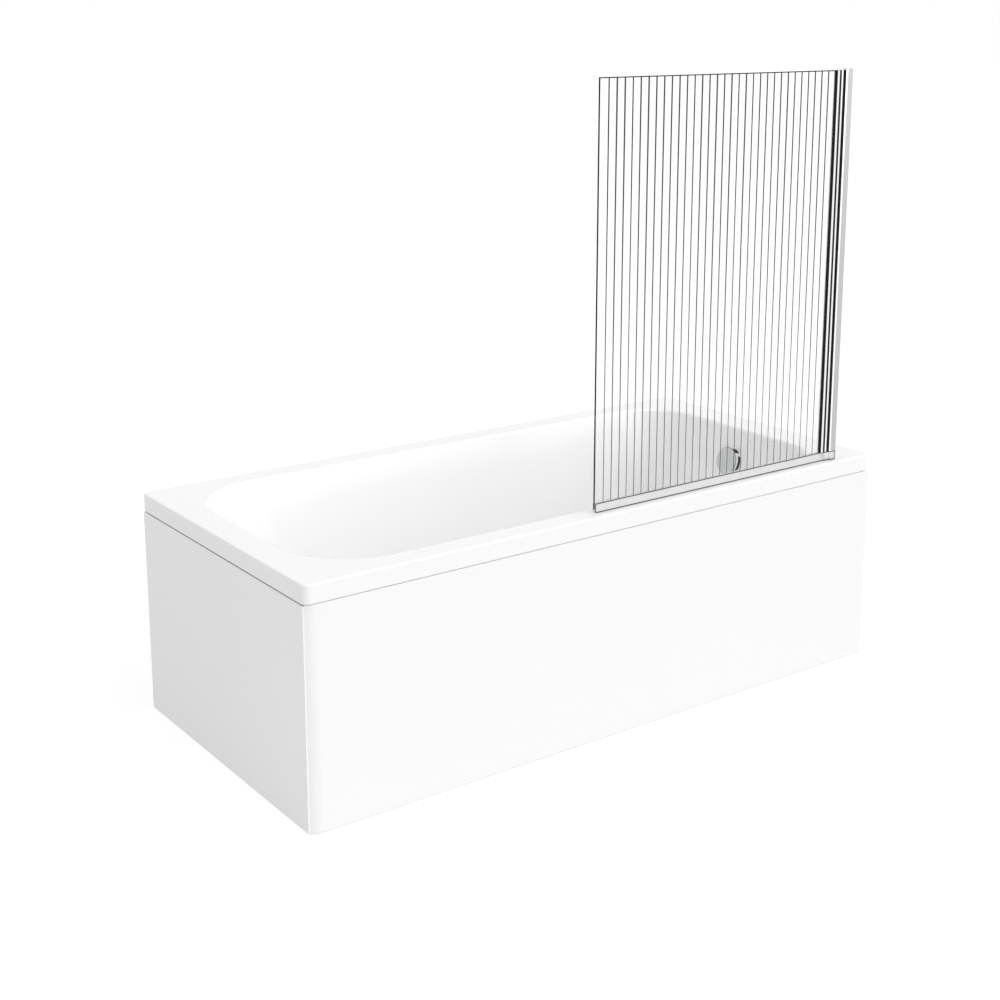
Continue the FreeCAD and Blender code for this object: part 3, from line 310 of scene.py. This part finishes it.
def make_panel(name, flange_shade_tone):
    """White acrylic sheet whose flange top behind the upper edge takes a given tone: painted shade for the joint
    line under the skirt.
    """
    made, tree, shader = glossy_white(name, (0.9, 0.9, 0.9), 0.2, 0.26, 0.00002)
    shine = shader.inputs["Base Color"].links[0].from_socket
    # Painted shade: the level top of the flange behind the upper edge takes the given tone.
    painted_flange_shade = span(tree, axes(tree, "Normal")["Z"], 0.93, 0.99)
    feed(tree, shader.inputs["Base Color"], blend(tree, painted_flange_shade, shine, (flange_shade_tone, flange_shade_tone, flange_shade_tone, 1)))
    return made


def make_aluminium():
    """Satin aluminium drawn lengthwise, with a painted highlight: near-white and glossier on each face that
    turns towards the glass.
    """
    grey = (0.53, 0.53, 0.535)
    made, tree, shader = make_metal("satin_aluminium", grey, 0.29, 0.38, (900, 900, 4), 1.0, 0.00002)
    face = shader.inputs["Base Color"].links[0].from_socket
    gloss = shader.inputs["Roughness"].links[0].from_socket
    lean = axes(tree, "Normal")["X"]
    # Painted highlight: faces that turn towards the glass get near-white colour and less roughness.
    painted_bevel_highlight = calc(tree, "LESS_THAN", lean, -0.2)
    feed(tree, shader.inputs["Base Color"], blend(tree, painted_bevel_highlight, face, (0.98, 0.98, 0.98, 1)))
    feed(tree, shader.inputs["Roughness"], calc(tree, "MULTIPLY_ADD", painted_bevel_highlight, -0.15, gloss))
    return made


def make_glass():
    """Clear fluted glass: a painted dark line in each valley as shade for the light the flutes bend, finer
    towards the foot, painted near-black cut edges and top edge, and a white layer that grows at grazing angles
    as painted reflection.
    """
    made, tree, shader = material("fluted_glass", (0.9, 0.93, 0.92), 0.03, IOR=1.5)
    spots = axes(tree)
    facing = axes(tree, "Normal")
    pitch = (flute_end - flute_start) / flute_count
    turns = calc(tree, "DIVIDE", calc(tree, "SUBTRACT", spots["X"], flute_start), pitch)
    chance = spot(tree, "TexWhiteNoise", noise_dimensions="1D")
    feed(tree, chance.inputs["W"], calc(tree, "ROUND", turns))
    luck = chance.outputs["Value"]
    to_valley = calc(tree, "ABSOLUTE", calc(tree, "SUBTRACT", turns, calc(tree, "ROUND", turns)))
    middle = flute_count / 2
    from_middle = calc(tree, "ABSOLUTE", calc(tree, "SUBTRACT", turns, middle))
    inner = calc(tree, "LESS_THAN", from_middle, middle - flute_end_gap)
    front = calc(tree, "MULTIPLY", calc(tree, "LESS_THAN", spots["Y"], glass_middle), inner)
    half_line = span(tree, spots["Z"], *flute_line)
    half_line = calc(tree, "MULTIPLY", half_line, span(tree, luck, 0.0, 1.0, 0.85, 1.15))
    # Painted shade: an opaque dark line in each valley of the front face stands in for the light the flutes
    # bend.
    line = calc(tree, "MULTIPLY", calc(tree, "LESS_THAN", to_valley, half_line), front)
    # Painted shade: the cut edges and the top edge are painted near-black.
    side = calc(tree, "GREATER_THAN", calc(tree, "ABSOLUTE", facing["X"]), 0.7)
    side = calc(tree, "MAXIMUM", side, calc(tree, "LESS_THAN", spots["X"], glass_edge))
    dark = calc(tree, "MAXIMUM", side, calc(tree, "GREATER_THAN", spots["Z"], glass_top - line_width))
    # Painted reflection: a white layer whose opacity grows with the Fresnel term at grazing angles.
    painted_reflection_veil = spot(tree, "LayerWeight")
    painted_reflection_veil.inputs["Blend"].default_value = 0.12
    opaque = span(tree, painted_reflection_veil.outputs["Fresnel"], 0.0, 1.0, 0.0, 0.5)
    drawn = calc(tree, "MAXIMUM", line, dark)
    opaque = calc(tree, "MAXIMUM", opaque, drawn)
    grey = span(tree, luck, 0.0, 1.0, 0.03, 0.09)
    line_shade_colour = spot(tree, "CombineColor")
    for socket in line_shade_colour.inputs[:3]:
        feed(tree, socket, grey)
    tone = blend(tree, line, (0.97, 0.98, 0.98, 1), line_shade_colour.outputs[0])
    feed(tree, shader.inputs["Base Color"], blend(tree, dark, tone, (0.004, 0.004, 0.004, 1)))
    feed(tree, shader.inputs["Alpha"], opaque)
    feed(tree, shader.inputs["Specular IOR Level"], span(tree, drawn, 0.0, 1.0, 0.5, 0.05))
    feed(tree, shader.inputs["Roughness"], uneven(tree, 30.0, 3.0, 0.02, 0.08))
    return made


def make_clear_plastic():
    """Clear soft plastic strip, with painted dark lines along its edges as shade for the light it bends there.
    """
    made, tree, shader = material("clear_plastic", (0.95, 0.95, 0.95), 0.2, IOR=1.5)
    spots = axes(tree)
    front = calc(tree, "LESS_THAN", spots["Y"], seal_front)
    upper = calc(tree, "GREATER_THAN", spots["Z"], seal_top - line_width)
    across = calc(tree, "MAXIMUM", calc(tree, "SUBTRACT", seal_corner[0], spots["X"]), 0.0)
    down = calc(tree, "MAXIMUM", calc(tree, "SUBTRACT", seal_corner[1], spots["Z"]), 0.0)
    squares = calc(tree, "ADD", calc(tree, "POWER", across, 2.0), calc(tree, "POWER", down, 2.0))
    lower = calc(tree, "GREATER_THAN", calc(tree, "SQRT", squares), seal_radius - line_width)
    finish = calc(tree, "GREATER_THAN", spots["X"], block_edge - line_width)
    line = calc(tree, "MAXIMUM", calc(tree, "MAXIMUM", upper, lower), finish)
    line = calc(tree, "MULTIPLY", line, front)
    cloud = noise(tree, place(tree), 18.0, 3.0)
    # Painted shade: the edge lines take a near-black colour.
    feed(tree, shader.inputs["Base Color"], blend(tree, line, (0.9, 0.9, 0.9, 1), (0.05, 0.05, 0.05, 1)))
    haze = span(tree, cloud, noise_low, noise_high, 0.55, 0.62)
    feed(tree, shader.inputs["Alpha"], calc(tree, "MAXIMUM", line, haze))
    feed(tree, shader.inputs["Roughness"], span(tree, cloud, noise_low, noise_high, 0.12, 0.25))
    return made


def make_fitting():
    """Chrome of the overflow: a grey face, with painted reflections: a dark edge round the face, black streaks
    and near-white on its drum.
    """
    made, tree, shader = make_chrome("chrome_overflow_painted_reflections", (0.56, 0.565, 0.57), 0.06, 0.12)
    face = shader.inputs["Base Color"].links[0].from_socket
    lean = math.radians(overflow_lean)
    coordinates = spot(tree, "TexCoord")
    offset = spot(tree, "VectorMath", operation="SUBTRACT")
    tree.links.new(coordinates.outputs["Object"], offset.inputs[0])
    offset.inputs[1].default_value = overflow_point

    def along(vector, direction):
        """How far a vector goes in one direction."""
        node = spot(tree, "VectorMath", operation="DOT_PRODUCT")
        tree.links.new(vector, node.inputs[0])
        node.inputs[1].default_value = direction
        return node.outputs["Value"]

    outward = (-math.cos(lean), 0.0, math.sin(lean))
    upward = (math.sin(lean), 0.0, math.cos(lean))
    normal = coordinates.outputs["Normal"]
    turned = along(normal, outward)
    drum = calc(tree, "LESS_THAN", turned, 0.25)
    edge = calc(tree, "SUBTRACT", calc(tree, "LESS_THAN", turned, 0.9), calc(tree, "LESS_THAN", turned, 0.25))
    height = along(normal, upward)

    def between(start, full, fading, end):
        """One between two heights, with a soft step at each."""
        return calc(tree, "MULTIPLY", span(tree, height, start, full), span(tree, height, fading, end, 1.0, 0.0))

    high = between(*high_reflection_streak)
    low = between(*low_reflection_streak)
    near_wall = calc(tree, "LESS_THAN", along(offset.outputs[0], outward), drum_near_wall)
    painted_reflection_streak = calc(tree, "MAXIMUM", high, calc(tree, "MULTIPLY", low, near_wall))
    # Painted reflection: black streaks on the drum and a dark edge round the face.
    rim = calc(tree, "MAXIMUM", calc(tree, "MULTIPLY", painted_reflection_streak, drum), calc(tree, "MULTIPLY", edge, 0.75))
    # Painted highlight: the drum's side is near-white.
    body = blend(tree, drum, face, (0.95, 0.95, 0.95, 1))
    feed(tree, shader.inputs["Base Color"], blend(tree, rim, body, (0.012, 0.012, 0.013, 1)))
    return made


finishes = {
    "acrylic": make_acrylic(),
    "panel_acrylic": make_panel("panel_front", 0.9),
    "board": make_board(),
    "timber": make_timber("timber", (0, 0, 0)),
    "zinc_steel": make_zinc(),
    "cradle_plastic": make_plastic("cradle_plastic", (0.78, 0.81, 0.74), 0.38, 0.52, 900.0, 0.00004),
    "foot_plastic": make_plastic("foot_plastic", (0.02, 0.02, 0.021), 0.36, 0.5, 1100.0, 0.00005),
    "rubber_black": make_plastic(
        "rubber_black", (0.006, 0.006, 0.006), 0.5, 0.65, 1300.0, 0.00004, Specular_IOR_Level=0.15),
    "chrome": make_chrome("chrome", (0.93, 0.935, 0.94), 0.04, 0.1)[0],
    "satin_aluminium": make_aluminium(),
    "pipe_plastic": make_plastic("pipe_plastic", (0.82, 0.82, 0.81), 0.3, 0.42, 700.0, 0.00003),
    "nylon": make_plastic("nylon", (0.78, 0.77, 0.72), 0.4, 0.5, 800.0, 0.00003),
    "fluted_glass": make_glass(),
    "clear_plastic": make_clear_plastic(),
}
across = make_timber("timber_across", (0, 0, 90))
upright = make_timber("timber_upright", (0, 90, 0))
plated = make_chrome("chrome_fitting", (0.74, 0.745, 0.75), 0.06, 0.12)[0]
pale_gasket = make_plastic("gasket_clear", (0.86, 0.86, 0.86), 0.4, 0.5, 1300.0, 0.00004)
own_finish = {
    "glazing_gasket_inner": pale_gasket,
    # The end panel's flange top is near-black, painted shade for its joint line; the front's stays white.
    "end_panel": make_panel("panel_end_painted_shade", 0.02),
    "overflow_cover": make_fitting(),
    "waste_flange": plated,
    "waste_plug": plated,
    "rim_batten_left": across,
    "rim_batten_right": across,
    "floor_batten_end": across,
    "corner_post": upright,
}
for piece in frame["record"]["subparts"]:
    finish = own_finish.get(piece["node"], finishes[piece["material_slot"]])
    nodes[piece["node"]].material_slots[0].material = finish

# Floor, world and lamps

mesh = bpy.data.meshes.new("floor")
far = floor_reach
corners = [(-far, -far, 0), (far, -far, 0), (far, far, 0), (-far, far, 0)]
mesh.from_pydata(corners, [], [(0, 1, 2, 3)])
floor = bpy.data.objects.new("floor", mesh)
floor.location.z = -floor_drop
scene.collection.objects.link(floor)


def seen_directly(tree):
    """One for rays that show the background as it looks, in metal and glass too."""
    rays = spot(tree, "LightPath")
    seen = calc(tree, "MAXIMUM", rays.outputs["Is Camera Ray"], rays.outputs["Is Glossy Ray"])
    return calc(tree, "MAXIMUM", seen, rays.outputs["Is Transmission Ray"])


ground = bpy.data.materials.new("ground")
ground.use_nodes = True
tree = ground.node_tree
tree.nodes.remove(tree.nodes["Principled BSDF"])


def pale(tree, shade, strength):
    """A floor that takes shadows lightly: part diffuse, part glow."""
    shaded = spot(tree, "BsdfDiffuse")
    shaded.inputs["Color"].default_value = (shade, shade, shade, 1)
    glow = spot(tree, "Emission")
    glow.inputs["Strength"].default_value = strength
    both = spot(tree, "AddShader")
    tree.links.new(shaded.outputs[0], both.inputs[0])
    tree.links.new(glow.outputs[0], both.inputs[1])
    return both.outputs[0]


choice = spot(tree, "MixShader")
tree.links.new(seen_directly(tree), choice.inputs[0])
tree.links.new(pale(tree, bounce_shade, bounce_glow), choice.inputs[1])
tree.links.new(pale(tree, floor_shade, floor_glow), choice.inputs[2])
tree.links.new(choice.outputs[0], tree.nodes["Material Output"].inputs["Surface"])
mesh.materials.append(ground)

world = bpy.data.worlds.new("world")
world.use_nodes = True
scene.world = world
tree = world.node_tree
sky = tree.nodes["Background"]
sky.inputs["Color"].default_value = (1, 1, 1, 1)
feed(tree, sky.inputs["Strength"], span(tree, seen_directly(tree), 0.0, 1.0, ambient, 1.0))

for name, (strength, direction) in suns.items():
    lamp = bpy.data.lights.new(name, "SUN")
    lamp.energy = strength
    lamp.angle = math.radians(sun_softness)
    sun = bpy.data.objects.new(name, lamp)
    sun.rotation_euler = Vector(direction).to_track_quat("Z", "Y").to_euler()
    scene.collection.objects.link(sun)

for name, (power, size, where, target) in boxes.items():
    lamp = bpy.data.lights.new(name, "AREA")
    lamp.energy = power
    lamp.size = size
    box = bpy.data.objects.new(name, lamp)
    box.location = where
    box.rotation_euler = (Vector(where) - Vector(target)).to_track_quat("Z", "Y").to_euler()
    box.visible_camera = False
    box.visible_glossy = False
    scene.collection.objects.link(box)

camera = bpy.data.cameras.new("camera")
camera.lens = camera_lens
camera.sensor_width = camera_sensor
camera.shift_y = camera_shift
camera.clip_end = camera_reach
viewer = bpy.data.objects.new("camera", camera)
viewer.location = camera_place
viewer.rotation_euler = (math.radians(90.0 - camera_pitch), 0.0, math.radians(-camera_yaw))
scene.collection.objects.link(viewer)
scene.camera = viewer

scene.view_settings.view_transform = "Standard"
